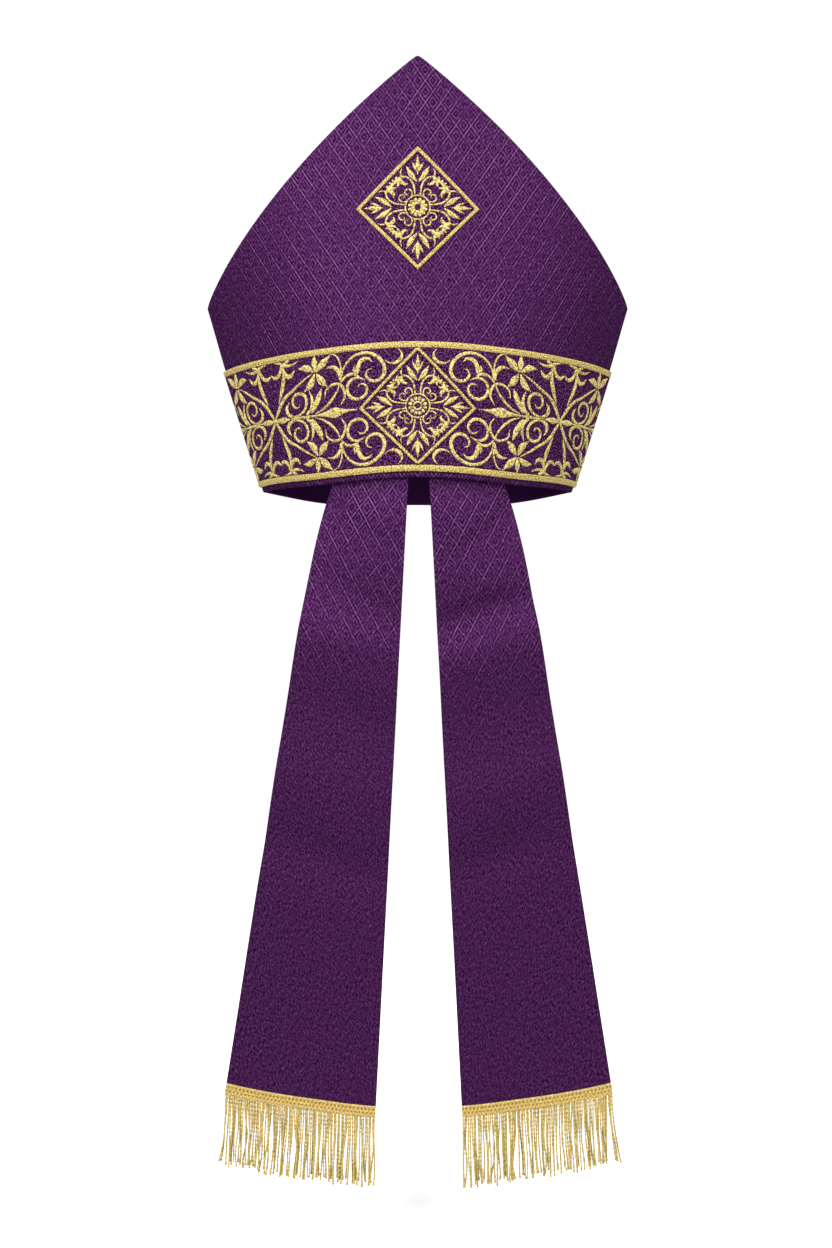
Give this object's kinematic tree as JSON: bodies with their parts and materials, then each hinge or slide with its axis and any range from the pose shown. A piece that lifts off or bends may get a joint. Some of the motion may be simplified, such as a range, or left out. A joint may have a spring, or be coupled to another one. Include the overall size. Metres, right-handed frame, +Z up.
{
  "type": "bishop mitre",
  "caption": "Pointed bishop's mitre of brocade over stiff front and back panels, with a folded gusset, an embroidered band, and two fringed lappets hanging behind.",
  "frame": {"origin": "middle of the rim's opening, level with the hem at the side seams, where a head goes in", "axes": "+Z up towards the peaks, -Y towards the back, where the lappets hang, +Y towards the wearer's face, +X to the wearer's right"},
  "size_m": [0.2948, 0.1846, 0.7204],
  "materials": {
    "purple_brocade": "figured brocade with a low sheen",
    "band_cloth": "close matt weave",
    "gold_braid": "gold thread, woven and stitched",
    "gold_fringe": "twisted gold rayon",
    "lining_cloth": "plain weave, satin face"
  },
  "bodies": {
    "root": {"back_panel": "purple_brocade", "front_panel": "purple_brocade", "gusset": "lining_cloth", "band_back": "band_cloth", "band_front": "band_cloth", "lower_braid_back": "gold_braid", "lower_braid_front": "gold_braid", "upper_braid_back": "gold_braid", "upper_braid_front": "gold_braid", "band_diamond_back": "gold_braid", "band_diamond_front": "gold_braid", "crown_diamond_back": "gold_braid", "crown_diamond_front": "gold_braid", "crown_patch_back": "band_cloth", "crown_patch_front": "band_cloth", "lappet_left": "purple_brocade", "lappet_right": "purple_brocade", "fringe_left": "gold_fringe", "fringe_right": "gold_fringe"}
  },
  "joints": []
}
